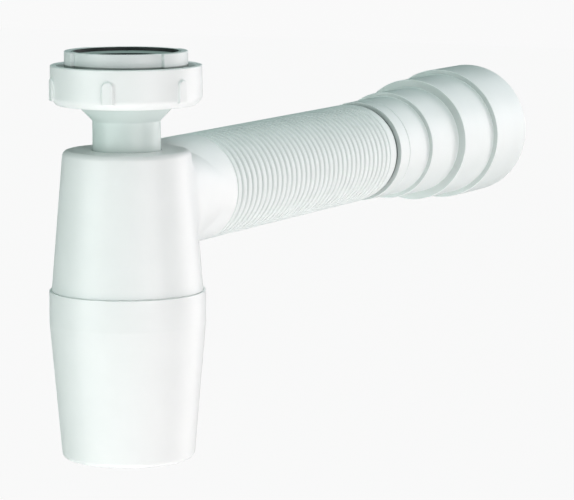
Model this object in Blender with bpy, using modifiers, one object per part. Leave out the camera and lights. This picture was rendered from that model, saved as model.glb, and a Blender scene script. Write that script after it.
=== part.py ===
"""Flexible bottle trap for a sink: a union nut and inlet tube at the top, a bottle with a
screw-on cup, and a corrugated outlet hose that ends in a stepped adapter.

Lengths are in millimetres here and the mesh helpers turn them into metres. Z is up. The origin is
the centre of the inlet plane, so the trap hangs below it. The hose runs along +X.
"""
import math

import bmesh
import bpy
from mathutils import Matrix

MM = 0.001
GAP = 0.3
MERGE = 0.00002
OVERCUT = 2.0

# Roundness, in sides of a full turn
SIDES = 32
SEAL_SIDES = 18
HOSE_SIDES = 20
RIB_ARC_STEPS = 6
NOTCH_STEPS = 12
CORNER_STEPS = 3
FOOT_STEPS = 4
CHEEK_STATIONS = 7

# Union nut
NUT_RADIUS = 29.35
NUT_TOP_DROP = 5.4
NUT_HEIGHT = 15.4
NUT_CHAMFER = 2.4
NUT_MOUTH_WALL = 2.4
NUT_MOUTH_DEPTH = 2.6
NUT_SHOULDER = 2.2
RIB_COUNT = 6
RIB_FIRST_ANGLE = 16.2
RIB_WIDTH = 4.4
RIB_PROUD = 1.0
RIB_TOP_DROP = 4.4
RIB_TAPER = 0.4

# Notched adaptor ring, screwed into the nut
RING_RADIUS = 23.9
RING_NOTCH_DEPTH = 1.4
RING_NOTCH_HEIGHT = 6.6
RING_NOTCH_ANGLE = 100.0
RING_NOTCH_MIDDLE = -162.3
RING_WALL = 1.2
RING_LEDGE = 2.2
RING_LEDGE_THICKNESS = 2.2
CONE_SEAL_TOP_DROP = 1.3
CONE_SEAL_FALL = 0.9
CONE_SEAL_THICKNESS = 2.6
CONE_SEAL_BORE = 16.0

# Inlet tube and its flat washer
TUBE_RADIUS = 13.2
TUBE_WALL = 2.2
TUBE_DEPTH = 133.0
FLARE_RADIUS = 17.4
FLARE_HEIGHT = 4.0
FLANGE_THICKNESS = 2.4
FLANGE_INSET = 2.0
WASHER_THICKNESS = 3.0
WASHER_BORE = 16.4
BEAD_PROUD = 0.8
BEAD_HEIGHT = 1.6

# Trap body
BODY_TOP_DROP = 38.3
BODY_TOP_RADIUS = 24.8
BODY_RIM_RADIUS = 29.5
BODY_HEIGHT = 54.9
BODY_WALL = 2.2
BODY_TOP_THICKNESS = 2.6
BODY_EDGE_ROUND = 1.3
COLLAR_WALL = 3.4
COLLAR_DEPTH = 9.5
NECK_SEAL_DEPTH = 1.6
NECK_SEAL_HEIGHT = 3.2
SKIRT_LENGTH = 10.8

# Outlet on the body
OUTLET_DROP = 20.2
OUTLET_RADIUS = 21.7
OUTLET_START = 24.0
OUTLET_REACH = 50.9
OUTLET_WALL = 2.4
OUTLET_LIP = 1.6
OUTLET_LIP_LENGTH = 4.0
CHEEK_WIDTH = 26.4
CHEEK_HALF_HEIGHT = 20.0
CHEEK_REACH = 44.0
CHEEK_TUCK = 1.2
CHEEK_POWER = 2.5

# Cup
CUP_RADIUS = 30.45
CUP_BAND_HEIGHT = 12.0
CUP_BAND_STEP = 0.3
CUP_HEIGHT = 65.5
CUP_FOOT_RADIUS = 25.8
CUP_FOOT_ROUND = 3.4
CUP_WALL = 2.2
CUP_SHOULDER_WALL = 2.9
CUP_FLOOR = 2.4
CUP_SEAL_WIDTH = 2.4
CUP_SEAL_THICKNESS = 2.0
CUP_LEDGE_THICKNESS = 2.0

# Corrugated hose
HOSE_RADIUS = 21.7
GROOVE_DEPTH = 1.3
GROOVE_WIDTH = 1.3
HOSE_WALL = 1.4
RIDGE_PITCH = 4.33
RIDGE_COUNT = 33
CUFF_END_LENGTH = 8.6
SPIGOT_WALL = 3.0
SPIGOT_SEAL_DEPTH = 1.3
SPIGOT_SEAL_LENGTH = 3.2
END_SPIGOT_RADIUS = 19.8
END_SPIGOT_LENGTH = 26.0

# Lock ring and stepped adapter at the free end
LOCK_RING_RADIUS = 22.1
LOCK_RING_LENGTH = 9.0
BARREL_1_RADIUS = 22.2
BARREL_2_RADIUS = 24.15
BARREL_3_RADIUS = 27.85
BARREL_4_RADIUS = 30.2
BARREL_1_LENGTH = 19.8
BARREL_2_LENGTH = 28.2
BARREL_3_LENGTH = 31.7
BARREL_4_LENGTH = 34.1
ADAPTER_WALL = 2.0
ADAPTER_EDGE_ROUND = 0.5
ADAPTER_STOP = 1.6
ADAPTER_STOP_LENGTH = 2.0

# Places worked out from the sizes
nut_top = -NUT_TOP_DROP
nut_bottom = nut_top - NUT_HEIGHT
thread_bore = RING_RADIUS + GAP
shoulder_top = nut_bottom + NUT_SHOULDER
flange_bottom = shoulder_top + GAP
flange_top = flange_bottom + FLANGE_THICKNESS
washer_bottom = flange_top + GAP
washer_top = washer_bottom + WASHER_THICKNESS
ring_bottom = washer_top + GAP
tube_bore = TUBE_RADIUS - TUBE_WALL
flange_radius = thread_bore - FLANGE_INSET
ring_bore = RING_RADIUS - RING_NOTCH_DEPTH - RING_WALL
cone_seal_bottom = -CONE_SEAL_TOP_DROP - CONE_SEAL_THICKNESS
ledge_top = cone_seal_bottom - GAP
body_top = -BODY_TOP_DROP
body_rim = body_top - BODY_HEIGHT
collar_bore = TUBE_RADIUS + GAP
collar_bottom = body_top - COLLAR_DEPTH
outlet_z = body_top - OUTLET_DROP
spigot_radius = OUTLET_RADIUS - OUTLET_WALL - GAP
cup_top = body_rim - GAP
cup_bottom = cup_top - CUP_HEIGHT
cup_bore = CUP_RADIUS - CUP_WALL
skirt_radius = cup_bore - GAP
skirt_bottom = body_rim - SKIRT_LENGTH
cup_seal_top = skirt_bottom - GAP
cup_ledge = cup_seal_top - CUP_SEAL_THICKNESS - GAP
first_groove = OUTLET_REACH + GAP
ridges_end = first_groove + RIDGE_PITCH * RIDGE_COUNT
lock_ring_start = ridges_end + CUFF_END_LENGTH + 2 * ADAPTER_EDGE_ROUND + GAP
adapter_start = lock_ring_start + LOCK_RING_LENGTH + GAP
hose_end = lock_ring_start + END_SPIGOT_LENGTH
outlet_seal_start = OUTLET_START + OUTLET_LIP_LENGTH + 3 * GAP + SPIGOT_SEAL_LENGTH


def clear_scene():
    """Remove every object, so the model starts from nothing."""
    for item in list(bpy.data.objects):
        bpy.data.objects.remove(item, do_unlink=True)


def collection(name):
    """A collection of that name in the scene."""
    made = bpy.data.collections.new(name)
    bpy.context.scene.collection.children.link(made)
    return made


def material(name, colour, roughness):
    """A plain plastic or rubber with the part's colour."""
    made = bpy.data.materials.new(name)
    made.use_nodes = True
    shader = made.node_tree.nodes["Principled BSDF"]
    shader.inputs["Base Color"].default_value = (*colour, 1.0)
    shader.inputs["Roughness"].default_value = roughness
    shader.inputs["Metallic"].default_value = 0.0
    return made


def add_object(name, mesh, group, look=None):
    """Put a mesh in a collection as an object, with its material."""
    made = bpy.data.objects.new(name, mesh)
    group.objects.link(made)
    if look is not None:
        mesh.materials.append(look)
    return made


def arc(centre_r, centre_z, radius, start, end, steps):
    """Points of a rounded corner in a profile, angles in degrees."""
    points = []
    for i in range(steps + 1):
        angle = math.radians(start + (end - start) * i / steps)
        points.append((centre_r + radius * math.cos(angle), centre_z + radius * math.sin(angle)))
    return points


def turned(name, profile, closed, sides, group, look=None):
    """A profile of (radius, height) turned round its own Z axis with a Screw modifier."""
    mesh = bpy.data.meshes.new(name)
    bm = bmesh.new()
    verts = [bm.verts.new((r * MM, 0.0, z * MM)) for r, z in profile]
    for a, b in zip(verts, verts[1:]):
        bm.edges.new((a, b))
    if closed:
        bm.edges.new((verts[-1], verts[0]))
    bm.to_mesh(mesh)
    bm.free()
    made = add_object(name, mesh, group, look)
    screw = made.modifiers.new("turn", "SCREW")
    screw.axis = "Z"
    screw.angle = 2 * math.pi
    screw.steps = sides
    screw.render_steps = sides
    screw.use_merge_vertices = True
    screw.merge_threshold = MERGE
    screw.use_smooth_shade = True
    return made


def lay_along_hose(item):
    """Turn a piece made round Z so that its heights become distances along the hose."""
    item.rotation_euler = (0.0, math.pi / 2, 0.0)
    item.location = (0.0, 0.0, outlet_z * MM)
    return item


def boolean(target, tool, operation):
    """Join a tool to a piece, or cut it out, and show the tool as a wire only."""
    change = target.modifiers.new(operation.lower(), "BOOLEAN")
    change.operation = operation
    change.solver = "EXACT"
    change.object = tool
    tool.hide_render = True
    tool.display_type = "WIRE"


def ring_profile(inner, outer, bottom, top):
    """A plain rectangular section."""
    return [(outer, top), (outer, bottom), (inner, bottom), (inner, top)]


def build_nut(parts, tools, look):
    """Union nut: chamfered foot, inner shoulder, open mouth and grip ribs."""
    mouth_bore = NUT_RADIUS - NUT_MOUTH_WALL
    hole = FLARE_RADIUS + GAP
    edge = NUT_CHAMFER / 4
    profile = [
        (NUT_RADIUS - edge, nut_top),
        (NUT_RADIUS, nut_top - edge),
        (NUT_RADIUS, nut_bottom + NUT_CHAMFER),
        (NUT_RADIUS - NUT_CHAMFER, nut_bottom),
        (hole, nut_bottom),
        (hole, shoulder_top),
        (thread_bore, shoulder_top),
        (thread_bore, nut_top - NUT_MOUTH_DEPTH),
        (mouth_bore, nut_top - NUT_MOUTH_DEPTH + (mouth_bore - thread_bore) / 2),
        (mouth_bore, nut_top),
    ]
    nut = turned("coupling_nut", profile, True, SIDES, parts, look)
    for i in range(RIB_COUNT):
        angle = RIB_FIRST_ANGLE + 360.0 / RIB_COUNT * i
        boolean(nut, build_rib("rib_%d" % i, angle, tools), "UNION")
    return nut


def build_rib(name, angle, tools):
    """One grip rib: a round-topped tongue that stands proud of the nut and dies into its chamfer."""
    half = RIB_WIDTH / 2
    top = nut_top - RIB_TOP_DROP
    foot = nut_bottom + NUT_CHAMFER / 2
    inside = NUT_RADIUS - NUT_CHAMFER
    outline = [(-half, foot)]
    outline += [(-y, z) for y, z in arc(0.0, top - half, half, 0, 180, RIB_ARC_STEPS)]
    outline += [(half, foot)]
    mesh = bpy.data.meshes.new(name)
    bm = bmesh.new()
    verts = [bm.verts.new((inside * MM, y * MM, z * MM)) for y, z in outline]
    back = bm.faces.new(verts)
    pushed = bmesh.ops.extrude_face_region(bm, geom=[back])
    front = [v for v in pushed["geom"] if isinstance(v, bmesh.types.BMVert)]
    bmesh.ops.translate(bm, verts=front, vec=((NUT_RADIUS + RIB_PROUD - inside) * MM, 0.0, 0.0))
    for vert in front:
        vert.co.y *= (half - RIB_TAPER) / half
        if vert.co.z > foot * MM + MERGE:
            vert.co.z -= RIB_TAPER * MM
        else:
            vert.co.z += RIB_TAPER * MM
    bmesh.ops.recalc_face_normals(bm, faces=bm.faces)
    bmesh.ops.rotate(bm, verts=bm.verts, cent=(0.0, 0.0, 0.0),
                     matrix=Matrix.Rotation(math.radians(angle), 3, "Z"))
    bm.to_mesh(mesh)
    bm.free()
    return add_object(name, mesh, tools)


def build_adaptor_ring(parts, tools, look):
    """Threaded ring in the nut: two lugs left between two notches, and a ledge for the cone seal."""
    ledge_bore = ring_bore - RING_LEDGE
    ledge_bottom = ledge_top - RING_LEDGE_THICKNESS
    thread_bore_inside = (ring_bore + ledge_bore) / 2
    edge = RING_WALL / 4
    profile = [
        (RING_RADIUS - edge, 0.0),
        (RING_RADIUS, -edge),
        (RING_RADIUS, ring_bottom + edge),
        (RING_RADIUS - edge, ring_bottom),
        (thread_bore_inside, ring_bottom),
        (thread_bore_inside, ledge_bottom - (thread_bore_inside - ledge_bore)),
        (ledge_bore, ledge_bottom),
        (ledge_bore, ledge_top),
        (ring_bore, ledge_top),
        (ring_bore, 0.0),
    ]
    ring = turned("adaptor_ring", profile, True, SIDES, parts, look)
    for i in range(2):
        middle = RING_NOTCH_MIDDLE + 180.0 * i
        boolean(ring, build_notch("notch_%d" % i, middle, tools), "DIFFERENCE")
    return ring


def build_notch(name, middle, tools):
    """The sector that is taken off the ring's outside between its two lugs."""
    inner = RING_RADIUS - RING_NOTCH_DEPTH
    outer = RING_RADIUS + 2 * RING_NOTCH_DEPTH
    start = middle - RING_NOTCH_ANGLE / 2
    step = RING_NOTCH_ANGLE / NOTCH_STEPS
    angles = [math.radians(start + step * i) for i in range(NOTCH_STEPS + 1)]
    outline = [(inner * math.cos(a), inner * math.sin(a)) for a in angles]
    outline += [(outer * math.cos(a), outer * math.sin(a)) for a in reversed(angles)]
    mesh = bpy.data.meshes.new(name)
    bm = bmesh.new()
    verts = [bm.verts.new((x * MM, y * MM, -RING_NOTCH_HEIGHT * MM)) for x, y in outline]
    floor = bm.faces.new(verts)
    pushed = bmesh.ops.extrude_face_region(bm, geom=[floor])
    top = [v for v in pushed["geom"] if isinstance(v, bmesh.types.BMVert)]
    bmesh.ops.translate(bm, verts=top, vec=(0.0, 0.0, (RING_NOTCH_HEIGHT + OVERCUT) * MM))
    bmesh.ops.recalc_face_normals(bm, faces=bm.faces)
    bm.to_mesh(mesh)
    bm.free()
    return add_object(name, mesh, tools)


def build_inlet_seals(parts, look):
    """The coned seal in the ring's mouth, and the flat washer under the ring."""
    outer = ring_bore - GAP
    profile = [
        (outer, -CONE_SEAL_TOP_DROP),
        (outer, cone_seal_bottom),
        (CONE_SEAL_BORE, cone_seal_bottom),
        (CONE_SEAL_BORE, -CONE_SEAL_TOP_DROP - CONE_SEAL_FALL),
    ]
    turned("cone_seal", profile, True, SEAL_SIDES, parts, look)
    washer = ring_profile(WASHER_BORE, flange_radius, washer_bottom, washer_top)
    turned("inlet_washer", washer, True, SEAL_SIDES, parts, look)


def build_inlet_tube(parts, look):
    """Flanged inlet tube: funnel mouth, 45 degree flare, snap bead and a long dip tube."""
    flare_bottom = nut_bottom - FLARE_HEIGHT
    bead_top = collar_bottom - GAP
    bead = TUBE_RADIUS + BEAD_PROUD
    profile = [
        (flange_radius, flange_top),
        (flange_radius, flange_bottom),
        (FLARE_RADIUS, flange_bottom),
        (FLARE_RADIUS, nut_bottom),
        (TUBE_RADIUS, flare_bottom),
        (TUBE_RADIUS, bead_top),
        (bead, bead_top - BEAD_PROUD / 2),
        (bead, bead_top - BEAD_HEIGHT / 2),
        (TUBE_RADIUS, bead_top - BEAD_HEIGHT),
        (TUBE_RADIUS, -TUBE_DEPTH),
        (tube_bore, -TUBE_DEPTH),
        (tube_bore, flare_bottom),
        (FLARE_RADIUS - TUBE_WALL, flange_bottom),
        (FLARE_RADIUS - TUBE_WALL + GAP, flange_top),
    ]
    return turned("inlet_tube", profile, True, SEAL_SIDES, parts, look)


def build_body(parts, tools, look):
    """Trap body: tapered shell with a flat top, threaded skirt and a faired side outlet."""
    round_top = arc(BODY_TOP_RADIUS - BODY_EDGE_ROUND, body_top - BODY_EDGE_ROUND, BODY_EDGE_ROUND,
                    90, 0, CORNER_STEPS)
    outside = [(0.0, body_top)] + round_top
    outside += [
        (BODY_RIM_RADIUS, body_rim),
        (skirt_radius, body_rim),
        (skirt_radius, skirt_bottom),
        (0.0, skirt_bottom),
    ]
    body = turned("trap_body", outside, False, SIDES, parts, look)
    boolean(body, build_outlet_stub(tools), "UNION")
    boolean(body, build_outlet_cheeks(tools), "UNION")
    boolean(body, build_body_cavity(tools), "DIFFERENCE")
    boolean(body, build_outlet_bore(tools), "DIFFERENCE")
    return body


def build_body_cavity(tools):
    """The space inside the body, with the collar that grips the inlet tube left standing."""
    ceiling = body_top - BODY_TOP_THICKNESS
    collar_outer = collar_bore + COLLAR_WALL
    groove_top = ceiling - GAP
    groove = collar_bore + NECK_SEAL_DEPTH + GAP
    groove_bottom = groove_top - NECK_SEAL_HEIGHT - 2 * GAP
    profile = [
        (0.0, body_top + OVERCUT),
        (collar_bore, body_top + OVERCUT),
        (collar_bore, groove_top),
        (groove, groove_top),
        (groove, groove_bottom),
        (collar_bore, groove_bottom),
        (collar_bore, collar_bottom),
        (collar_outer, collar_bottom),
        (collar_outer, ceiling),
        (BODY_TOP_RADIUS - BODY_WALL, ceiling),
        (skirt_radius - BODY_WALL, body_rim + BODY_WALL),
        (skirt_radius - BODY_WALL, skirt_bottom - OVERCUT),
        (0.0, skirt_bottom - OVERCUT),
    ]
    return turned("body_cavity", profile, False, SIDES, tools)


def build_outlet_stub(tools):
    """The round pipe that leaves the body for the hose."""
    profile = [(0.0, OUTLET_REACH), (OUTLET_RADIUS, OUTLET_REACH), (OUTLET_RADIUS, OUTLET_START),
               (0.0, OUTLET_START)]
    return lay_along_hose(turned("outlet_stub", profile, False, SIDES, tools))


def build_outlet_cheeks(tools):
    """Fairing between the bottle and the round outlet: flat sections that narrow to the pipe."""
    mesh = bpy.data.meshes.new("outlet_cheeks")
    bm = bmesh.new()
    rings = []
    for i in range(CHEEK_STATIONS):
        share = i / (CHEEK_STATIONS - 1)
        along = CHEEK_REACH * share
        narrow = (OUTLET_RADIUS - CHEEK_TUCK / 2) + (CHEEK_WIDTH - OUTLET_RADIUS) * (1 - share) ** 2
        tall = CHEEK_HALF_HEIGHT - CHEEK_TUCK * share
        ring = []
        for k in range(SIDES):
            angle = 2 * math.pi * k / SIDES
            c, s = math.cos(angle), math.sin(angle)
            y = narrow * math.copysign(abs(c) ** (2 / CHEEK_POWER), c)
            z = tall * math.copysign(abs(s) ** (2 / CHEEK_POWER), s)
            ring.append(bm.verts.new((along * MM, y * MM, (outlet_z + z) * MM)))
        rings.append(ring)
    for low, high in zip(rings, rings[1:]):
        for k in range(SIDES):
            after = (k + 1) % SIDES
            bm.faces.new((low[k], low[after], high[after], high[k]))
    bm.faces.new(rings[0])
    bm.faces.new(rings[-1])
    bmesh.ops.recalc_face_normals(bm, faces=bm.faces)
    bm.to_mesh(mesh)
    bm.free()
    return add_object("outlet_cheeks", mesh, tools)


def build_outlet_bore(tools):
    """The hole through the outlet, with the inner lip that stops the hose's spigot."""
    bore = OUTLET_RADIUS - OUTLET_WALL
    lip = bore - OUTLET_LIP
    lip_end = OUTLET_START + OUTLET_LIP_LENGTH
    inside = TUBE_RADIUS + 2 * GAP
    mouth = OUTLET_REACH + OVERCUT
    profile = [(0.0, mouth), (bore, mouth), (bore, lip_end),
               (lip, lip_end), (lip, inside), (0.0, inside)]
    return lay_along_hose(turned("outlet_bore", profile, False, SIDES, tools))


def build_neck_seal(parts, look):
    """Square ring in the collar's groove, round the inlet tube."""
    top = body_top - BODY_TOP_THICKNESS - 2 * GAP
    outer = collar_bore + NECK_SEAL_DEPTH
    profile = ring_profile(collar_bore, outer, top - NECK_SEAL_HEIGHT, top)
    return turned("neck_seal", profile, True, SEAL_SIDES, parts, look)


def build_cup(parts, look):
    """Screw-on cup: plain band over the thread, long taper, rounded foot and inner seal ledge."""
    band_bottom = cup_top - CUP_BAND_HEIGHT
    taper_top = CUP_RADIUS - CUP_BAND_STEP
    foot = arc(CUP_FOOT_RADIUS - CUP_FOOT_ROUND, cup_bottom + CUP_FOOT_ROUND, CUP_FOOT_ROUND,
               0, -90, FOOT_STEPS)
    floor = cup_bottom + CUP_FLOOR
    ledge_bore = cup_bore - CUP_SEAL_WIDTH
    ledge_bottom = cup_ledge - CUP_LEDGE_THICKNESS
    inner_foot = CUP_FOOT_RADIUS - CUP_WALL
    edge = CUP_WALL / 5
    profile = [
        (0.0, floor),
        (inner_foot - CUP_FLOOR, floor),
        (inner_foot, floor + CUP_FLOOR),
        (taper_top - CUP_SHOULDER_WALL, ledge_bottom - CUP_SEAL_WIDTH),
        (ledge_bore, ledge_bottom),
        (ledge_bore, cup_ledge),
        (cup_bore, cup_ledge),
        (cup_bore, cup_top),
        (CUP_RADIUS - edge, cup_top),
        (CUP_RADIUS, cup_top - edge),
        (CUP_RADIUS, band_bottom),
        (taper_top, band_bottom - CUP_BAND_STEP),
    ]
    profile += foot
    profile.append((0.0, cup_bottom))
    return turned("cup", profile, False, SIDES, parts, look)


def build_cup_seal(parts, look):
    """Flat ring between the body's skirt and the ledge in the cup."""
    profile = ring_profile(cup_bore - CUP_SEAL_WIDTH, cup_bore - GAP,
                           cup_seal_top - CUP_SEAL_THICKNESS, cup_seal_top)
    return turned("cup_seal", profile, True, SEAL_SIDES, parts, look)


def spigot_groove(radius, start):
    """A seal groove in the outside of a spigot, from its far edge to its near one."""
    low = radius - SPIGOT_SEAL_DEPTH - GAP
    end = start + SPIGOT_SEAL_LENGTH + 2 * GAP
    return [(radius, end), (low, end), (low, start), (radius, start)]


def build_hose(parts, look):
    """Corrugated hose: broad ridges with narrow grooves, and a plain spigot at each end."""
    spigot_start = OUTLET_START + OUTLET_LIP_LENGTH + GAP
    end_bore = END_SPIGOT_RADIUS - HOSE_WALL - SPIGOT_SEAL_DEPTH
    start_bore = spigot_radius - SPIGOT_WALL
    cuff_radius = HOSE_RADIUS - GROOVE_DEPTH / 3
    cuff_end = ridges_end + CUFF_END_LENGTH
    outside = [(END_SPIGOT_RADIUS, hose_end)]
    outside += spigot_groove(END_SPIGOT_RADIUS, adapter_start + SPIGOT_SEAL_LENGTH)
    outside += [(END_SPIGOT_RADIUS, cuff_end)]
    outside += [(cuff_radius, cuff_end - (cuff_radius - END_SPIGOT_RADIUS))]
    outside += [(cuff_radius, ridges_end + GROOVE_WIDTH / 2)]
    inside = [(start_bore, spigot_start), (start_bore, first_groove)]
    for i in range(RIDGE_COUNT + 1):
        groove = ridges_end - RIDGE_PITCH * i
        outside.append((HOSE_RADIUS - GROOVE_DEPTH, groove))
        if i < RIDGE_COUNT:
            outside.append((HOSE_RADIUS, groove - GROOVE_WIDTH / 2))
            outside.append((HOSE_RADIUS, groove - RIDGE_PITCH + GROOVE_WIDTH / 2))
        start = first_groove + RIDGE_PITCH * i
        if i > 0:
            inside.append((HOSE_RADIUS - HOSE_WALL, start - RIDGE_PITCH / 2))
            inside.append((HOSE_RADIUS - GROOVE_DEPTH - HOSE_WALL, start))
    outside += [(spigot_radius, first_groove)]
    outside += spigot_groove(spigot_radius, outlet_seal_start)
    outside += [(spigot_radius, spigot_start)]
    inside += [(end_bore, cuff_end), (end_bore, hose_end)]
    hose = turned("corrugated_hose", outside + inside, True, HOSE_SIDES, parts, look)
    return lay_along_hose(hose)


def build_hose_seals(parts, look):
    """Rings in the grooves of the hose's two spigots."""
    for name, radius, start in (
        ("outlet_seal", spigot_radius, outlet_seal_start),
        ("adapter_seal", END_SPIGOT_RADIUS, adapter_start + SPIGOT_SEAL_LENGTH),
    ):
        low = start + GAP
        profile = ring_profile(radius - SPIGOT_SEAL_DEPTH, radius, low, low + SPIGOT_SEAL_LENGTH)
        lay_along_hose(turned(name, profile, True, SEAL_SIDES, parts, look))


def build_lock_ring(parts, look):
    """Narrow ring that holds the adapter on the hose."""
    bore = END_SPIGOT_RADIUS + GAP
    start = lock_ring_start
    end = start + LOCK_RING_LENGTH
    edge = ADAPTER_EDGE_ROUND
    outer = LOCK_RING_RADIUS
    profile = [(outer - edge, end), (outer, end - edge), (outer, start + edge),
               (outer - edge, start), (bore, start), (bore, end)]
    return lay_along_hose(turned("lock_ring", profile, True, SIDES, parts, look))


def build_adapter(parts, look):
    """Stepped end piece: four plain barrels, each wider than the last, open right through."""
    edge = ADAPTER_EDGE_ROUND
    radii = (BARREL_1_RADIUS, BARREL_2_RADIUS, BARREL_3_RADIUS, BARREL_4_RADIUS)
    starts = [adapter_start]
    for length in (BARREL_1_LENGTH, BARREL_2_LENGTH, BARREL_3_LENGTH, BARREL_4_LENGTH):
        starts.append(starts[-1] + length)
    end = starts[-1]
    outside = [(BARREL_4_RADIUS - edge, end), (BARREL_4_RADIUS, end - edge)]
    for i in (3, 2, 1, 0):
        outside += [(radii[i], starts[i] + edge), (radii[i] - edge, starts[i])]
        if i > 0:
            outside.append((radii[i - 1], starts[i]))
    bore = END_SPIGOT_RADIUS + GAP
    stop = hose_end + GAP
    stop_bore = bore - ADAPTER_STOP
    inside = [(bore, adapter_start), (bore, stop), (stop_bore, stop),
              (stop_bore, stop + ADAPTER_STOP_LENGTH)]
    for i in (1, 2, 3):
        radius = radii[i] - ADAPTER_WALL
        far = end if i == 3 else starts[i + 1] + ADAPTER_WALL
        inside += [(radius, starts[i] + ADAPTER_WALL), (radius, far)]
    adapter = turned("stepped_adapter", outside + inside, True, SIDES, parts, look)
    return lay_along_hose(adapter)


def main():
    """Build the whole trap."""
    clear_scene()
    parts = collection("flexible_sink_trap")
    tools = collection("cutters")
    white = material("white_plastic", (0.86, 0.88, 0.87), 0.35)
    ring_white = material("adaptor_plastic", (0.84, 0.87, 0.86), 0.4)
    hose_white = material("hose_plastic", (0.84, 0.87, 0.86), 0.45)
    rubber = material("black_rubber", (0.03, 0.035, 0.035), 0.6)
    seat = material("pale_seal", (0.62, 0.67, 0.66), 0.55)
    build_nut(parts, tools, white)
    build_adaptor_ring(parts, tools, ring_white)
    build_inlet_seals(parts, seat)
    build_inlet_tube(parts, white)
    build_neck_seal(parts, rubber)
    build_body(parts, tools, white)
    build_cup(parts, white)
    build_cup_seal(parts, rubber)
    build_hose(parts, hose_white)
    build_hose_seals(parts, rubber)
    build_lock_ring(parts, hose_white)
    build_adapter(parts, white)


main()
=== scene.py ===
"""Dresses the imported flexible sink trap: fine surfaces, plastic and rubber materials, floor, lamps
and the photograph's camera. Lengths are in millimetres until a mesh is made."""
import itertools
import math

import bpy
import numpy as np
from mathutils import Euler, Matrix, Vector


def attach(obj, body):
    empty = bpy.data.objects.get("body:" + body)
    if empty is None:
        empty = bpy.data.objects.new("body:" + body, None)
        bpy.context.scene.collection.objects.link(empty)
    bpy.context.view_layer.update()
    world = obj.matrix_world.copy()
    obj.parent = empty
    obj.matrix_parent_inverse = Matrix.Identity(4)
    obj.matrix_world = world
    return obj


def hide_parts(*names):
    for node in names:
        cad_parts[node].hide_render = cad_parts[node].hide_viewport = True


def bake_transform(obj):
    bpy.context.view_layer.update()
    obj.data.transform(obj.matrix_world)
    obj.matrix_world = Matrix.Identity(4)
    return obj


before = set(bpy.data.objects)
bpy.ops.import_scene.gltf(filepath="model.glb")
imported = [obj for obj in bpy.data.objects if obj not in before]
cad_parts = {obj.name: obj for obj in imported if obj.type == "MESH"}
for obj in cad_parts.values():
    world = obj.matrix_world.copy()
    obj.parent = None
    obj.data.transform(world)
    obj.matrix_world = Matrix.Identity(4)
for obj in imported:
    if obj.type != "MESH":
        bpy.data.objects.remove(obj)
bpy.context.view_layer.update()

MM = 0.001

# Sizes shared with the CAD source
GAP = 0.3
NUT_RADIUS, NUT_TOP, NUT_BOTTOM = 29.35, -5.4, -20.8
NUT_CHAMFER, NUT_SHOULDER, NUT_MOUTH_WALL = 2.4, 2.2, 2.4
RIB_FIRST, RIB_COUNT = 16.2, 6
RIB_HALF_WIDTH, RIB_PROUD, RIB_TOP_DROP = 2.2, 1.0, 4.4
RING_RADIUS, RING_BOTTOM, RING_LEDGE_BORE = 23.9, -12.3, 19.1
NOTCH_MIDDLE, NOTCH_HALF, NOTCH_COUNT, NOTCH_FLOOR = -162.3, 50.0, 2, -6.6
MOUTH_RADIUS, MOUTH_FLOOR = 21.3, -4.2
SEAL_BOTTOM, SEAL_BORE = -3.9, 16.0
FLANGE_RADIUS, FLANGE_TOP, FLANGE_BOTTOM = 22.2, -15.9, -18.3
WASHER_BORE = 16.4
TUBE_RADIUS, TUBE_BORE, TUBE_END = 13.2, 11.0, -133.0
BODY_TOP, BODY_RIM, SKIRT_BOTTOM = -38.3, -93.2, -104.0
BODY_TOP_RADIUS, BODY_RIM_RADIUS, BODY_WALL, BODY_LID = 24.8, 29.5, 2.2, 2.6
COLLAR_RADIUS, COLLAR_BORE, COLLAR_DEPTH = 16.9, 13.5, 9.5
CUP_TOP, CUP_BOTTOM, CUP_RADIUS, CUP_BORE = -93.5, -159.0, 30.45, 28.25
CUP_BAND, CUP_FLOOR, CUP_FOOT_RADIUS, CUP_FOOT_ROUND = 12.0, 2.4, 25.8, 3.4
OUTLET_Z, OUTLET_RADIUS, OUTLET_REACH = -58.5, 21.7, 50.9
OUTLET_BORE, OUTLET_SEAT, OUTLET_LIP_BORE = 19.3, 28.0, 17.7
FAIRING_REACH = 44.0
FIRST_GROOVE, PITCH, RIDGES = OUTLET_REACH + GAP, 4.33, 33
RIDGES_END = FIRST_GROOVE + PITCH * RIDGES
RIDGE_RADIUS, SPIGOT_RADIUS, END_SPIGOT_RADIUS, END_SPIGOT_LENGTH = 21.7, 19.0, 19.8, 26.0
CUFF_LENGTH, LOCK_LENGTH, LOCK_RADIUS = 9.9, 9.0, 22.1
LOCK_START = RIDGES_END + CUFF_LENGTH
LOCK_END = LOCK_START + LOCK_LENGTH
HOSE_END = LOCK_START + END_SPIGOT_LENGTH
ADAPTER_START, ADAPTER_WALL, ADAPTER_BORE = LOCK_END + GAP, 2.0, 20.1
ADAPTER_STOP, ADAPTER_STOP_LENGTH = 1.6, 2.0
BARREL_RADII = (22.2, 24.15, 27.85, 30.2)
BARREL_LENGTHS = (19.8, 28.2, 31.7, 34.1)

# Sizes of forms that the CAD source leaves out or makes a little differently
UNION_PITCH, CUP_PITCH, THREAD_DEPTH = 2.309, 4.0, 0.9
FLARE_RADIUS, FLARE_HEIGHT = 19.2, 6.1
RIB_FOOT = 2.1
NOTCH_DEPTH = 1.8
SHOULDER_ROUND = 2.2
FAIRING_HALF_HEIGHT, FAIRING_POWER = 20.25, 2.6
PIPE_START, PIPE_FULL, PIPE_TUCK = 14.0, 40.0, 1.6
CUP_LIP_RADIUS, CUP_LIP = 29.56, 0.5
GROOVE_RADIUS, GROOVE_HALF, SHOULDER_RADIUS, SHOULDER_HALF = 19.75, 0.38, 21.5, 0.85


# Shapes

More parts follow.
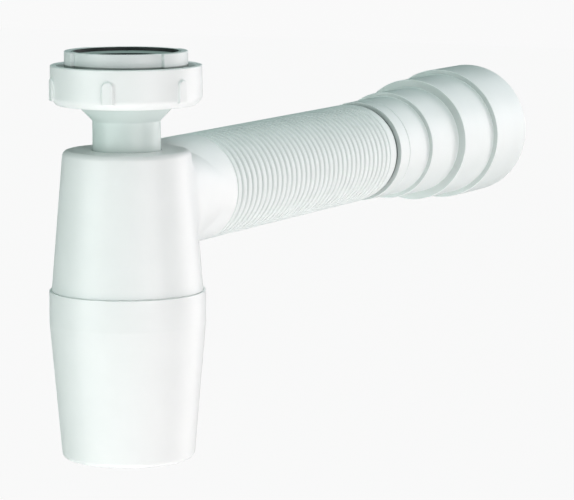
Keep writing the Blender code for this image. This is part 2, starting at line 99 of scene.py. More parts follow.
def rounded(profile, closed, corner=0.15):
    """Fine points and outward normals of a section. Each corner is (radius, height) or, with its
    own rounding, (radius, height, rounding). Points and normals are complex numbers."""
    straight, longest_share, arc_step = 0.001, 0.45, math.radians(14)
    points = [complex(p[0], p[1]) for p in profile]
    sizes = [p[2] if len(p) > 2 else corner for p in profile]
    fine = []
    for i, here in enumerate(points):
        if not closed and i in (0, len(points) - 1):
            way = points[1] - here if i == 0 else here - points[-2]
            fine.append((here, 1j * way / abs(way)))
            continue
        back = here - points[i - 1]
        ahead = points[(i + 1) % len(points)] - here
        start_way = back / abs(back)
        turn = float(np.angle((ahead / abs(ahead)) / start_way))
        left = 1j * start_way
        if abs(turn) < straight:
            fine.append((here, left))
            continue
        half = math.tan(abs(turn) / 2)
        reach = min(sizes[i] * half, longest_share * abs(back), longest_share * abs(ahead))
        side = math.copysign(reach / half, turn)
        centre = here - start_way * reach + left * side
        steps = max(2, math.ceil(abs(turn) / arc_step))
        for k in range(steps + 1):
            normal = left * np.exp(1j * turn * k / steps)
            fine.append((centre - normal * side, normal))
    return fine


def mesh_piece(name, points, faces, normals=None):
    """An object from points in millimetres, smooth, with its own normals where they are given."""
    mesh = bpy.data.meshes.new(name)
    mesh.from_pydata((np.asarray(points) * MM).tolist(), [], faces)
    mesh.polygons.foreach_set("use_smooth", [True] * len(mesh.polygons))
    if normals is not None:
        mesh.normals_split_custom_set_from_vertices(np.asarray(normals).tolist())
    mesh.update()
    piece = bpy.data.objects.new(name, mesh)
    bpy.context.scene.collection.objects.link(piece)
    return piece


def lathe(name, profile, closed=True, sides=144, along_hose=False, own_normals=True):
    """A section turned round Z, or round the hose's line with heights as distances along it."""
    on_axis_radius = 0.001
    points, normals, rings = [], [], []
    for place, normal in rounded(profile, closed):
        count = 1 if abs(place.real) < on_axis_radius else sides
        rings.append(range(len(points), len(points) + count))
        for k in range(count):
            c, s = math.cos(2 * math.pi * k / sides), math.sin(2 * math.pi * k / sides)
            points.append((place.real * c, place.real * s, place.imag))
            across = 0.0 if count == 1 else normal.real
            normals.append((across * c, across * s, normal.imag))
    pairs = list(zip(rings, rings[1:]))
    if closed:
        pairs.append((rings[-1], rings[0]))
    faces = []
    for a, b in pairs:
        for k in range(sides):
            after = (k + 1) % sides
            if len(a) == 1:
                faces.append((a[0], b[k], b[after]))
            elif len(b) == 1:
                faces.append((a[k], b[0], a[after]))
            else:
                faces.append((a[k], b[k], b[after], a[after]))
    points, normals = np.array(points), np.array(normals)
    if along_hose:
        points = np.stack([points[:, 2], points[:, 1], OUTLET_Z - points[:, 0]], 1)
        normals = np.stack([normals[:, 2], normals[:, 1], -normals[:, 0]], 1)
    return mesh_piece(name, points, faces, normals if own_normals else None)


def both(a, b, edge):
    """What is inside both fields. The edge between them is rounded by that radius."""
    beyond = np.hypot(np.maximum(a + edge, 0), np.maximum(b + edge, 0))
    return np.minimum(-edge, np.maximum(a, b)) + beyond


def either(a, b, fillet):
    """What is inside one field or the other. A fillet of that radius lies between them."""
    return -both(-a, -b, fillet)


def slope_of(field, p):
    """A field's values and gradients at points."""
    h = 0.01
    slopes = []
    for axis in range(3):
        step = np.zeros(3)
        step[axis] = h
        ahead, behind = p + step, p - step
        slopes.append((field(*ahead.T) - field(*behind.T)) / (2 * h))
    return field(*p.T), np.stack(slopes, 1)


def grid_surface(values, cell, origin):
    """Points near the zero surface of a grid of values, one to a crossed cell, and the quads that
    join them, facing out."""
    inside = values < 0
    shape = np.array(values.shape) - 1
    total = np.zeros(shape, int)
    for i, j, k in itertools.product((0, 1), repeat=3):
        total += inside[i:i + shape[0], j:j + shape[1], k:k + shape[2]]
    mixed = (total > 0) & (total < 8)
    cells = np.argwhere(mixed)
    index = np.full(shape, -1)
    index[mixed] = np.arange(len(cells))
    unit = np.eye(3, dtype=int)
    summed = np.zeros((len(cells), 3))
    hits = np.zeros(len(cells))
    quads = []
    for axis in range(3):
        b, c = (axis + 1) % 3, (axis + 2) % 3
        for p, q in itertools.product((0, 1), repeat=2):
            corner = p * unit[b] + q * unit[c]
            near = values[tuple((cells + corner).T)]
            far = values[tuple((cells + corner + unit[axis]).T)]
            crossed = (near < 0) != (far < 0)
            share = np.where(crossed, near / np.where(crossed, near - far, 1.0), 0.0)
            summed += crossed[:, None] * (corner + share[:, None] * unit[axis])
            hits += crossed
        lower = np.take(inside, range(shape[axis]), axis)
        upper = np.take(inside, range(1, shape[axis] + 1), axis)
        edges = np.argwhere(lower != upper)
        safe = (edges[:, b] > 0) & (edges[:, c] > 0)
        safe &= (edges[:, b] < shape[b]) & (edges[:, c] < shape[c])
        edges = edges[safe]
        around = [edges, edges - unit[b], edges - unit[b] - unit[c], edges - unit[c]]
        quad = np.stack([index[tuple(e.T)] for e in around], 1)
        outwards = lower[tuple(edges.T)]
        quads.append(np.where(outwards[:, None], quad, quad[:, ::-1]))
    points = (cells + summed / hits[:, None]) * cell + origin
    return points, np.concatenate(quads)


def solid(name, field, low, high, cell):
    """A closed mesh of the surface where a field of x, y, z is zero, every point moved onto it.
    The box from low to high encloses the whole shape."""
    rounds, flattest, shortest = 5, 0.01, 1e-9
    axes = [np.arange(a - 1.5 * cell, b + 2.5 * cell, cell) for a, b in zip(low, high)]
    values = field(*np.meshgrid(*axes, indexing="ij"))
    points, quads = grid_surface(values, cell, np.array([a[0] for a in axes]))
    for _ in range(rounds):
        value, slope = slope_of(field, points)
        size = np.maximum((slope ** 2).sum(1), flattest)
        move = (value / size)[:, None] * slope
        length = np.maximum(np.linalg.norm(move, axis=1), shortest)
        points -= move * np.minimum(1.0, cell / length)[:, None]
    slope = slope_of(field, points)[1]
    normals = slope / np.maximum(np.linalg.norm(slope, axis=1), shortest)[:, None]
    return mesh_piece(name, points, quads.tolist(), normals)


def thread(angle, z, pitch, top, bottom):
    """How far a right-handed thread stands up, 0 to 1, fading out at both of its ends."""
    flatness, run_out = 1.5, 0.8
    turns = z / pitch - angle / (2 * math.pi)
    wave = 0.5 + 0.5 * np.clip(flatness * np.cos(2 * math.pi * turns), -1, 1)
    fade = np.clip((top - z) / run_out, 0, 1) * np.clip((z - bottom) / run_out, 0, 1)
    return wave * fade


def folded(angle, first, count):
    """The angle from the nearest of a number of evenly spaced directions."""
    step = 2 * math.pi / count
    return (angle - first + step / 2) % step - step / 2


def nut_field(x, y, z):
    """Union nut: round body, chamfered foot, six grip ribs, threaded bore and a wide mouth."""
    rib_root = NUT_RADIUS - 3.0
    mouth_floor, mouth_wide = NUT_TOP - 4.0, NUT_TOP - 3.2
    thread_top = -9.6
    r, angle = np.hypot(x, y), np.arctan2(y, x)
    chamfer = (r - NUT_RADIUS + NUT_BOTTOM + NUT_CHAMFER - z) / math.sqrt(2)
    shape = both(both(r - NUT_RADIUS, z - NUT_TOP, edge=0.5), chamfer, edge=0.8)
    shape = both(shape, NUT_BOTTOM - z, edge=0.4)
    turn = folded(angle, math.radians(RIB_FIRST), RIB_COUNT)
    along, out = r * np.sin(turn), r * np.cos(turn)
    arc_middle = NUT_TOP - RIB_TOP_DROP - RIB_HALF_WIDTH
    rib = np.hypot(along, np.maximum(z - arc_middle, 0)) - RIB_HALF_WIDTH
    rib = both(rib, out - NUT_RADIUS - RIB_PROUD, edge=0.55)
    rib = both(rib, NUT_BOTTOM + RIB_FOOT - z, edge=0.5)
    rib = np.maximum(rib, rib_root - out)
    shape = either(shape, rib, fillet=0.35)
    widths = (RING_RADIUS + GAP, NUT_RADIUS - NUT_MOUTH_WALL)
    bore = np.interp(z, (mouth_floor, mouth_wide), widths)
    bore = bore + THREAD_DEPTH * thread(angle, z, UNION_PITCH, thread_top, FLANGE_BOTTOM)
    room = both(r - bore, NUT_BOTTOM + NUT_SHOULDER - z, edge=0.2)
    hollow = np.minimum(room, r - (FLARE_RADIUS + GAP))
    return both(shape, -hollow, edge=0.3)


def ring_field(x, y, z):
    """Adaptor ring: two lugs between two notches, a threaded foot and an inner ledge."""
    plain_bottom, thread_top, thread_bottom = -7.0, -7.4, RING_BOTTOM + 0.3
    foot_bore, foot_top = 20.2, -7.5
    r, angle = np.hypot(x, y), np.arctan2(y, x)
    turns = thread(angle, z, UNION_PITCH, thread_top, thread_bottom)
    outer = RING_RADIUS - THREAD_DEPTH + THREAD_DEPTH * turns
    widening = np.interp(z, (thread_top, plain_bottom), (0, 1)) * THREAD_DEPTH
    outer = np.minimum(np.where(z > plain_bottom, RING_RADIUS, widening + outer), RING_RADIUS)
    shape = both(both(r - outer, z, edge=0.35), RING_BOTTOM - z, edge=0.3)
    turn = np.abs(folded(angle, math.radians(NOTCH_MIDDLE), NOTCH_COUNT))
    sector = r * np.sin(turn - math.radians(NOTCH_HALF))
    notch = both(RING_RADIUS - NOTCH_DEPTH - r, sector, edge=0.1)
    notch = both(notch, NOTCH_FLOOR - z, edge=0.3)
    shape = both(shape, -notch, edge=0.15)
    mouth = both(r - MOUTH_RADIUS, MOUTH_FLOOR - z, edge=0.2)
    foot = both(r - foot_bore, z - foot_top, edge=0.2)
    hollow = np.minimum(np.minimum(mouth, r - RING_LEDGE_BORE), foot)
    return both(shape, -hollow, edge=0.22)


def shell_field(r, z):
    """The body's tapered bottle, filled, from its round shoulder down to its rim."""
    slope = (BODY_RIM_RADIUS - BODY_TOP_RADIUS) / (BODY_TOP - BODY_RIM)
    cone = (r - BODY_TOP_RADIUS - slope * (BODY_TOP - z)) / math.hypot(1, slope)
    return both(both(cone, z - BODY_TOP, edge=SHOULDER_ROUND), BODY_RIM - z, edge=0.15)


def fairing_field(x, y, z):
    """The fairing that carries the outlet: wide and tall at the bottle, slim at its far end."""
    narrow, extra, extra_power = OUTLET_RADIUS - 0.2, 4.1, 1.3
    height_loss, height_power = 0.44, 4
    scale = 20.0
    share = np.clip(x / FAIRING_REACH, 0, 1)
    wide = narrow + extra * (1 - share) ** extra_power
    tall = FAIRING_HALF_HEIGHT * (1 - height_loss * share ** height_power)
    across = (np.abs(y) / wide) ** FAIRING_POWER
    upright = (np.abs(z - OUTLET_Z) / tall) ** FAIRING_POWER
    section = (across + upright) ** (1 / FAIRING_POWER)
    return np.maximum(both(scale * (section - 1), x - FAIRING_REACH, edge=0.5), -x)


def pipe_field(x, off_line):
    """The outlet pipe, filled, and a little slimmer where it enters the bottle."""
    tuck = PIPE_TUCK * np.clip((PIPE_FULL - x) / (PIPE_FULL - PIPE_START), 0, 1) ** 2
    barrel = both(off_line - (OUTLET_RADIUS - tuck), x - OUTLET_REACH, edge=0.5)
    return both(barrel, PIPE_START - x, edge=0.5)


def body_room(x, off_line, r, z):
    """The room in the body: the bottle round its neck collar, and the outlet's lipped bore."""
    lip_start = 13.8
    ceiling = BODY_TOP - BODY_LID
    walls = (CUP_BORE - GAP - BODY_WALL, BODY_TOP_RADIUS - BODY_WALL)
    inner = np.interp(z, (BODY_RIM + BODY_WALL, ceiling), walls)
    cavity = both(r - inner, z - ceiling, edge=0.8)
    collar = both(r - COLLAR_RADIUS, BODY_TOP - COLLAR_DEPTH - z, edge=0.4)
    cavity = both(cavity, -collar, edge=0.6)
    bore = both(off_line - OUTLET_BORE, OUTLET_SEAT - x, edge=0.3)
    lip = both(off_line - OUTLET_LIP_BORE, lip_start - x, edge=0.3)
    return np.minimum(np.minimum(cavity, r - COLLAR_BORE), np.minimum(bore, lip))


def body_field(x, y, z):
    """Trap body: tapered shell, threaded skirt, outlet pipe and the fairing that carries it."""
    thread_top, thread_bottom = -94.2, SKIRT_BOTTOM + 0.4
    r, angle = np.hypot(x, y), np.arctan2(y, x)
    off_line = np.hypot(y, z - OUTLET_Z)
    fillet = 0.05 + 1.5 * np.clip(x / PIPE_START, 0, 1)
    outside = either(shell_field(r, z), fairing_field(x, y, z), fillet)
    outside = either(outside, pipe_field(x, off_line), fillet=0.25)
    skirt_root = CUP_BORE - GAP - THREAD_DEPTH
    skirt = skirt_root + THREAD_DEPTH * thread(angle, z, CUP_PITCH, thread_top, thread_bottom)
    skirt = both(r - skirt, SKIRT_BOTTOM - z, edge=0.4)
    skirt = both(skirt, z - BODY_RIM - 1.0, edge=0.2)
    outside = np.minimum(outside, skirt)
    return both(outside, -body_room(x, off_line, r, z), edge=0.35)


def seal_groove(radius, far, near):
    """Corners of a seal's groove in a spigot, on the way back towards the trap."""
    depth = 1.6
    floor = radius - depth
    return [(radius, far), (floor, far), (floor, near), (radius, near)]


def hose_profile():
    """Section of the corrugated hose, free end first: crowned ridges and narrow round grooves."""
    spigot_bore, wide_bore, fold_inner, fold_outer = 16.0, 17.1, 19.0, 20.3
    spigot_start, cuff_end = OUTLET_SEAT + GAP, RIDGES_END + 9.21
    far_seal, near_seal = (220.6, 216.49), (35.8, 32.0)
    outer = [(END_SPIGOT_RADIUS, HOSE_END, 0.3), *seal_groove(END_SPIGOT_RADIUS, *far_seal)]
    outer += [(END_SPIGOT_RADIUS, cuff_end, 0.8), (20.6, cuff_end - 1.1, 1.5),
              (21.25, cuff_end - 4.3, 4.0), (21.35, RIDGES_END + 0.75, 0.3)]
    inner = [(spigot_bore, spigot_start, 0.3), (spigot_bore, FIRST_GROOVE)]
    for i in range(RIDGES + 1):
        groove = RIDGES_END - PITCH * i
        outer += [(GROOVE_RADIUS, groove + GROOVE_HALF, 0.25),
                  (GROOVE_RADIUS, groove - GROOVE_HALF, 0.25)]
        if i < RIDGES:
            outer += [(SHOULDER_RADIUS, groove - SHOULDER_HALF, 0.3),
                      (RIDGE_RADIUS, groove - PITCH / 2, 1.6),
                      (SHOULDER_RADIUS, groove - PITCH + SHOULDER_HALF, 0.3)]
            middle = FIRST_GROOVE + PITCH * (i + 0.5)
            inner += [(fold_outer, middle, 0.6), (fold_inner, middle + PITCH / 2, 0.4)]
    outer += [(SPIGOT_RADIUS, FIRST_GROOVE - 0.32, 0.2), *seal_groove(SPIGOT_RADIUS, *near_seal),
              (SPIGOT_RADIUS, spigot_start, 0.3)]
    inner += [(wide_bore, cuff_end - 0.6, 1.0), (wide_bore, HOSE_END, 0.3)]
    return outer + inner


def adapter_profile():
    """Section of the stepped end piece, wide end first, then its bore from the hose outwards."""
    ends = [ADAPTER_START, *(ADAPTER_START + np.cumsum(BARREL_LENGTHS)).tolist()]
    last = len(BARREL_RADII) - 1
    outer = [(BARREL_RADII[last], ends[-1], 0.7)]
    for i in reversed(range(len(BARREL_RADII))):
        outer.append((BARREL_RADII[i], ends[i], 0.4))
        if i:
            outer.append((BARREL_RADII[i - 1], ends[i], 0.25))
    stop, stop_bore = HOSE_END + GAP, ADAPTER_BORE - ADAPTER_STOP
    inner = [(ADAPTER_BORE, ends[0]), (ADAPTER_BORE, stop), (stop_bore, stop),
             (stop_bore, stop + ADAPTER_STOP_LENGTH)]
    for i in range(1, len(BARREL_RADII)):
        bore = BARREL_RADII[i] - ADAPTER_WALL
        far = ends[-1] if i == last else ends[i + 1] + ADAPTER_WALL
        inner += [(bore, ends[i] + ADAPTER_WALL, 0.3), (bore, far, 0.3)]
    return outer + inner


def lock_ring_profile():
    """Section of the locking ring between the hose's cuff and the adapter."""
    return [(LOCK_RADIUS, LOCK_END, 0.3), (LOCK_RADIUS, LOCK_START, 0.3),
            (ADAPTER_BORE, LOCK_START, 0.15), (ADAPTER_BORE, LOCK_END, 0.15)]


def cup_profile():
    """Section of the cup, from the middle of its floor out over the rim to its underside."""
    floor, rim, lip = CUP_BOTTOM + CUP_FLOOR, CUP_TOP + 0.24, CUP_TOP + CUP_LIP
    ledge, ledge_bore = -106.6, 25.85
    hollow = CUP_BOTTOM + 0.4
    gate_radius, gate = 4.0, CUP_BOTTOM + 0.1
    return [
        (0.0, floor), (21.2, floor, 1.0), (23.6, floor + 2.4, 1.5), (27.25, ledge - 4.3, 1.0),
        (ledge_bore, ledge - 1.9, 0.3), (ledge_bore, ledge, 0.2), (CUP_BORE, ledge, 0.2),
        (CUP_BORE, rim, 0.3), (CUP_LIP_RADIUS, rim, 0.05), (CUP_LIP_RADIUS, lip, 0.1),
        (CUP_RADIUS, lip, 0.3), (CUP_RADIUS, CUP_TOP - CUP_BAND, 2.0),
        (CUP_FOOT_RADIUS, CUP_BOTTOM, CUP_FOOT_ROUND), (21.4, CUP_BOTTOM, 0.3),
        (21.0, hollow, 0.3), (gate_radius + 0.4, hollow, 0.3), (gate_radius, gate, 0.2), (0.0, gate),
    ]


def tube_profile():
    """Section of the inlet tube, from its flange down to its cut end and back up inside."""
    flare_end = NUT_BOTTOM - FLARE_HEIGHT
    bead_radius, bead_top, bead_low = TUBE_RADIUS + 0.8, -48.5, -48.9
    return [
        (FLANGE_RADIUS, FLANGE_TOP, 0.2), (FLANGE_RADIUS, FLANGE_BOTTOM, 0.2),
        (FLARE_RADIUS, FLANGE_BOTTOM, 0.1), (FLARE_RADIUS, NUT_BOTTOM, 0.5),
        (TUBE_RADIUS, flare_end, 1.0), (TUBE_RADIUS, bead_top + 0.4, 0.2),
        (bead_radius, bead_top, 0.3), (bead_radius, bead_low, 0.3),
        (TUBE_RADIUS, bead_low - 0.8, 0.3), (TUBE_RADIUS, TUBE_END, 0.5),
        (TUBE_BORE, TUBE_END, 0.5), (TUBE_BORE, flare_end, 3.0), (17.0, FLANGE_BOTTOM, 2.0),
        (17.3, FLANGE_TOP, 0.4),
    ]


def mouth_seal_profile():
    """Section of the cone seal: a sloping shelf inside an upright lip."""
    # The upright lip, black in its material, stands along the ring's inner wall as painted shade
    outer, lip_bore, lip_top = MOUTH_RADIUS - GAP / 2, 20.3, -0.1
    return [(outer, lip_top, 0.15), (outer, SEAL_BOTTOM, 0.2), (SEAL_BORE, SEAL_BOTTOM, 0.2),
            (SEAL_BORE, -2.2, 0.3), (lip_bore, -1.5, 0.2), (lip_bore, lip_top, 0.15)]


def washer_profile():
    """Section of the flat washer between the ring and the tube's flange."""
    top, bottom = RING_BOTTOM - GAP, FLANGE_TOP + GAP
    return [(FLANGE_RADIUS, top), (FLANGE_RADIUS, bottom), (WASHER_BORE, bottom), (WASHER_BORE, top)]


# Materials

def noise(material, place, scale, detail=2.0):
    """Noise over the surface."""
    node = material.node_tree.nodes.new("ShaderNodeTexNoise")
    node.inputs["Scale"].default_value = scale
    node.inputs["Detail"].default_value = detail
    material.node_tree.links.new(place, node.inputs["Vector"])
    return node.outputs["Fac"]


def moulded(name, tint, roughness, grain=0.06, translucent=0.12, drift=0.024):
    """Moulded plastic or rubber: slight drift in tone and gloss, and a fine grain."""
    gloss_drift, grain_height, depth = 0.05, 0.0002, 0.003
    material = bpy.data.materials.new(name)
    material.use_nodes = True
    nodes, links = material.node_tree.nodes, material.node_tree.links
    shader = nodes["Principled BSDF"]
    place = nodes.new("ShaderNodeTexCoord").outputs["Object"]
    ramp = nodes.new("ShaderNodeValToRGB")
    dark_end, light_end = ramp.color_ramp.elements
    dark_end.position = 0.3
    light_end.position = 0.7
    dark_end.color = (*(max(0.0, c - drift) for c in tint), 1.0)
    light_end.color = (*tint, 1.0)
    spread = nodes.new("ShaderNodeMapRange")
    spread.inputs["To Min"].default_value = roughness - gloss_drift
    spread.inputs["To Max"].default_value = roughness + gloss_drift
    bump = nodes.new("ShaderNodeBump")
    bump.inputs["Strength"].default_value = grain
    bump.inputs["Distance"].default_value = grain_height
    links.new(noise(material, place, scale=60.0, detail=4.0), ramp.inputs["Fac"])
    links.new(noise(material, place, scale=240.0), spread.inputs["Value"])
    links.new(noise(material, place, scale=1400.0), bump.inputs["Height"])
    links.new(ramp.outputs["Color"], shader.inputs["Base Color"])
    links.new(spread.outputs["Result"], shader.inputs["Roughness"])
    links.new(bump.outputs["Normal"], shader.inputs["Normal"])
    shader.inputs["IOR"].default_value = 1.49
    if translucent:
        shader.inputs["Subsurface Weight"].default_value = translucent
        shader.inputs["Subsurface Radius"].default_value = (1.0, 1.0, 0.95)
        shader.inputs["Subsurface Scale"].default_value = depth
    return material


def on_axis(material, kind, axis):
    """The surface's normal or place, read on one axis."""
    nodes, links = material.node_tree.nodes, material.node_tree.links
    place = nodes.new("ShaderNodeTexCoord")
    parts = nodes.new("ShaderNodeSeparateXYZ")
    links.new(place.outputs[kind], parts.inputs["Vector"])
    return parts.outputs[axis]


def from_hose_line(material):
    """The distance from the hose's middle line."""
    nodes, links = material.node_tree.nodes, material.node_tree.links
    place = nodes.new("ShaderNodeTexCoord")
    shift = nodes.new("ShaderNodeVectorMath")
    shift.operation = "SUBTRACT"
    shift.inputs[1].default_value = (0.0, 0.0, OUTLET_Z * MM)
    across = nodes.new("ShaderNodeVectorMath")
    across.operation = "MULTIPLY"
    across.inputs[1].default_value = (0.0, 1.0, 1.0)
    length = nodes.new("ShaderNodeVectorMath")
    length.operation = "LENGTH"
    links.new(place.outputs["Object"], shift.inputs[0])
    links.new(shift.outputs["Vector"], across.inputs[0])
    links.new(across.outputs["Vector"], length.inputs[0])
    return length.outputs["Value"]


def paint_shading_tone(material, tint, reading, low, high):
    """Paint light or shade into a material as another tone that comes in as a reading goes from low
    to high.
    """
    nodes, links = material.node_tree.nodes, material.node_tree.links
    colour = nodes["Principled BSDF"].inputs["Base Color"]
    usual = colour.links[0].from_socket
    share = nodes.new("ShaderNodeMapRange")
    share.inputs["From Min"].default_value = low
    share.inputs["From Max"].default_value = high
    mix = nodes.new("ShaderNodeMix")
    mix.data_type = "RGBA"
    mix.inputs["B"].default_value = (*tint, 1.0)
    links.new(reading, share.inputs["Value"])
    links.new(share.outputs["Result"], mix.inputs["Factor"])
    links.new(usual, mix.inputs["A"])
    links.new(mix.outputs["Result"], colour)


white = moulded("white_moulding", (0.90, 0.94, 0.93), roughness=0.42)
# The inlet tube is greyer than the other mouldings: painted shade for the nut's shadow on it
tube_white_painted_shade = moulded("tube_moulding_painted_shade", (0.68, 0.77, 0.745), roughness=0.45)

# The faces of the adapter and the locking ring that look back at the trap are greyer: painted shade,
# chosen by which way the surface faces
adapter_white_painted_shade = moulded("adapter_moulding_painted_shade", (0.84, 0.90, 0.885), roughness=0.42)
paint_shading_tone(adapter_white_painted_shade, (0.59, 0.66, 0.64), on_axis(adapter_white_painted_shade, "Normal", "X"),
            low=-0.9, high=-0.97)

# The hose's grooves are dark: painted shade where the surface lies deep in them
hose_white_painted_shade = moulded("hose_moulding_painted_shade", (0.83, 0.89, 0.875), roughness=0.5, grain=0.03,
                     translucent=0.0)
paint_shading_tone(hose_white_painted_shade, (0.20, 0.26, 0.25), from_hose_line(hose_white_painted_shade),
            low=20.9 * MM, high=20.2 * MM)

# The ring is dark where it goes down into the nut: painted shade for the gap under the nut's rim
ring_white_painted_shade = moulded("ring_moulding_painted_shade", (0.86, 0.91, 0.90), roughness=0.45)
paint_shading_tone(ring_white_painted_shade, (0.24, 0.28, 0.26), on_axis(ring_white_painted_shade, "Object", "Z"),
            low=-4.9 * MM, high=-5.3 * MM)

pale_rubber = moulded("pale_seal", (0.52, 0.59, 0.57), roughness=0.6, grain=0.12, translucent=0.0)
black_rubber = moulded("black_seal", (0.03, 0.035, 0.035), roughness=0.55, grain=0.15,
                       translucent=0.0, drift=0.008)

# The mouth seal is black on its upright faces, painted shade along the ring's inner wall, and pale
# on its top faces
seal_rubber_painted_shade = moulded("mouth_seal", (0.03, 0.035, 0.035), roughness=0.55, grain=0.12,
                        translucent=0.0, drift=0.008)
paint_shading_tone(seal_rubber_painted_shade, (0.46, 0.54, 0.51), on_axis(seal_rubber_painted_shade, "Normal", "Z"),
            low=0.85, high=0.95)


# Pieces

def dress(piece, material, body, node):
    """Paint a piece, stand it for its CAD node and let it ride with a body given as one name. A body
    given as two names and two places is not used: the piece is only fixed where it stands."""
    piece.data.materials.append(material)
    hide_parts(node)
    if isinstance(body, str):
        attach(piece, body)
    else:
        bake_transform(piece)


nut = solid("union_nut", nut_field, low=(-31, -31, -21), high=(31, 31, -5), cell=0.42)
dress(nut, white, "nut", "coupling_nut")

ring = solid("notched_ring", ring_field, low=(-24, -24, -12.5), high=(24, 24, 0), cell=0.36)
dress(ring, ring_white_painted_shade, "ring", "adaptor_ring")

bottle = solid("bottle_body", body_field, low=(-30, -30, -104), high=(51, 30, -36), cell=0.55)
dress(bottle, white, "trap", "trap_body")

tube = lathe("dip_tube", tube_profile())
dress(tube, tube_white_painted_shade, "inlet", "inlet_tube")

cup = lathe("bottle_cup", cup_profile(), closed=False, sides=180)
dress(cup, white, "cup", "cup")

mouth_seal = lathe("mouth_seal", mouth_seal_profile())
dress(mouth_seal, seal_rubber_painted_shade, "ring_seal", "cone_seal")

washer = lathe("flat_washer", washer_profile())
dress(washer, pale_rubber, "inlet", "inlet_washer")

hose = lathe("outlet_hose", hose_profile(), sides=120, along_hose=True, own_normals=False)
stretch_start = (FIRST_GROOVE * MM, 0, OUTLET_Z * MM)
stretch_end = (RIDGES_END * MM, 0, OUTLET_Z * MM)
dress(hose, hose_white_painted_shade, ("hose", "hose_end", stretch_start, stretch_end),
      "corrugated_hose")

lock_ring = lathe("locking_ring", lock_ring_profile(), along_hose=True)
dress(lock_ring, adapter_white_painted_shade, "hose_end", "lock_ring")

adapter = lathe("step_adapter", adapter_profile(), sides=180, along_hose=True)
dress(adapter, adapter_white_painted_shade, "hose_end", "stepped_adapter")

for hidden_seal in ("neck_seal", "cup_seal", "outlet_seal", "adapter_seal"):
    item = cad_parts[hidden_seal]
    item.data.materials.clear()
    item.data.materials.append(black_rubber)


# Floor, world, lamps and camera. Lengths are in metres here.

FLOOR_Z, FLOOR_HALF = -0.7, 9.0
STUDIO_MIDDLE = Vector((0.12, 0.0, -0.075))
LAMP_SIZE = 0.8


def pale_stage():
    """A wide white floor that looks white to the camera and still takes the object's shadow."""
    camera_glow = 0.94
    h, z = FLOOR_HALF / MM, FLOOR_Z / MM
    corners = [(-h, -h, z), (h, -h, z), (h, h, z), (-h, h, z)]
    floor = mesh_piece("floor", corners, [(0, 1, 2, 3)])
    material = bpy.data.materials.new("floor")
    material.use_nodes = True
    nodes, links = material.node_tree.nodes, material.node_tree.links
    shader = nodes["Principled BSDF"]
    shader.inputs["Base Color"].default_value = (0.9, 0.9, 0.9, 1.0)
    shader.inputs["Roughness"].default_value = 0.9
    shader.inputs["Specular IOR Level"].default_value = 0.0
    glow = nodes.new("ShaderNodeEmission")
    glow.inputs["Strength"].default_value = 1.0
    path = nodes.new("ShaderNodeLightPath")
    seen = nodes.new("ShaderNodeMath")
    seen.operation = "MULTIPLY"
    seen.inputs[1].default_value = camera_glow
    mix = nodes.new("ShaderNodeMixShader")
    links.new(path.outputs["Is Camera Ray"], seen.inputs[0])
    links.new(seen.outputs[0], mix.inputs["Fac"])
    links.new(shader.outputs["BSDF"], mix.inputs[1])
    links.new(glow.outputs["Emission"], mix.inputs[2])
    links.new(mix.outputs["Shader"], nodes["Material Output"].inputs["Surface"])
    floor.data.materials.append(material)


def pale_world(low, high, strength):
    """Faint light that goes from one colour below to another above, and pale to the camera."""
    world = bpy.data.worlds.new("studio")
    bpy.context.scene.world = world
    world.use_nodes = True
    nodes, links = world.node_tree.nodes, world.node_tree.links
    place = nodes.new("ShaderNodeTexCoord")
    parts = nodes.new("ShaderNodeSeparateXYZ")
    height = nodes.new("ShaderNodeMapRange")
    height.inputs["From Min"].default_value = -0.6
    height.inputs["From Max"].default_value = 0.8
    ramp = nodes.new("ShaderNodeValToRGB")
    ramp.color_ramp.elements[0].color = (*low, 1.0)
    ramp.color_ramp.elements[1].color = (*high, 1.0)
    light = nodes["Background"]
    light.inputs["Strength"].default_value = strength
    plain = nodes.new("ShaderNodeBackground")
    plain.inputs["Color"].default_value = (0.95, 0.95, 0.95, 1.0)
    path = nodes.new("ShaderNodeLightPath")
    mix = nodes.new("ShaderNodeMixShader")
    links.new(place.outputs["Generated"], parts.inputs["Vector"])
    links.new(parts.outputs["Z"], height.inputs["Value"])
    links.new(height.outputs["Result"], ramp.inputs["Fac"])
    links.new(ramp.outputs["Color"], light.inputs["Color"])
    links.new(path.outputs["Is Camera Ray"], mix.inputs["Fac"])
    links.new(light.outputs["Background"], mix.inputs[1])
    links.new(plain.outputs["Background"], mix.inputs[2])
    links.new(mix.outputs["Shader"], nodes["World Output"].inputs["Surface"])


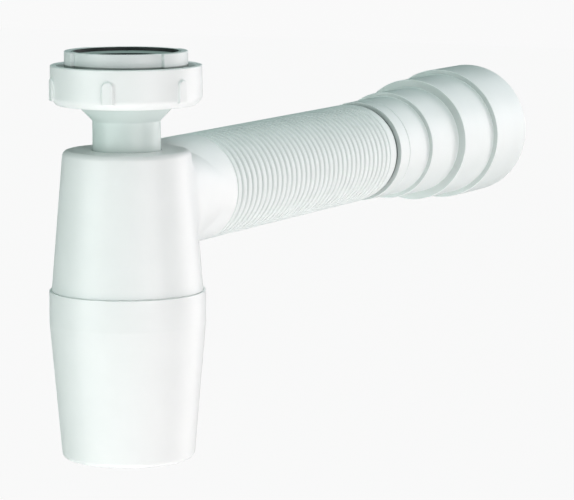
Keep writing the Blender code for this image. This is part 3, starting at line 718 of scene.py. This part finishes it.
def photo_camera():
    """The photograph's camera: a long lens, a little above the object, that looks down on it."""
    down, heading = 7.961, -62.84
    data = bpy.data.cameras.new("photo_camera")
    data.lens = 191.68
    data.sensor_fit = "HORIZONTAL"
    data.sensor_width = 36.0
    data.clip_end = 100.0
    camera = bpy.data.objects.new("photo_camera", data)
    camera.location = (-1.0181, -0.5920, 0.0869)
    camera.rotation_euler = Euler((math.radians(90 - down), 0.0, math.radians(heading)))
    bpy.context.scene.collection.objects.link(camera)
    bpy.context.scene.camera = camera
    bpy.context.view_layer.update()
    return camera


def soft_lamp(name, camera, side, up, nearer, power, colour):
    """A square soft lamp placed by how far it is to the camera's right, up and nearer to it."""
    above = Vector((0.0, 0.0, 1.0))
    right = camera.matrix_world.to_3x3() @ Vector((1.0, 0.0, 0.0))
    place = STUDIO_MIDDLE + right * side + above * up + right.cross(above) * nearer
    data = bpy.data.lights.new(name, "AREA")
    data.size = LAMP_SIZE
    data.energy = power
    data.color = colour
    lamp = bpy.data.objects.new(name, data)
    lamp.location = place
    lamp.rotation_euler = (STUDIO_MIDDLE - place).to_track_quat("-Z", "Y").to_euler()
    bpy.context.scene.collection.objects.link(lamp)


pale_stage()
pale_world(low=(0.0, 0.0, 0.0), high=(0.55, 1.0, 0.86), strength=0.1)
camera = photo_camera()
soft_lamp("key", camera, 0.75, 0.0, 1.1, power=8.8, colour=(1.0, 0.92, 0.94))
soft_lamp("left_fill", camera, -1.0, -0.05, 0.7, power=7.2, colour=(0.95, 1.0, 0.98))
soft_lamp("right_rim", camera, 1.0, 0.0, -0.4, power=5.6, colour=(1.0, 0.92, 0.93))
soft_lamp("back", camera, 0.8, 0.4, -0.9, power=2.9, colour=(0.94, 0.93, 1.0))
soft_lamp("overhead", camera, 0.0, 1.2, 0.2, power=5.0, colour=(0.84, 1.0, 0.99))
soft_lamp("underneath", camera, 0.0, -0.55, 0.25, power=2.0, colour=(1.0, 0.86, 0.87))
bpy.context.scene.view_settings.view_transform = "Standard"
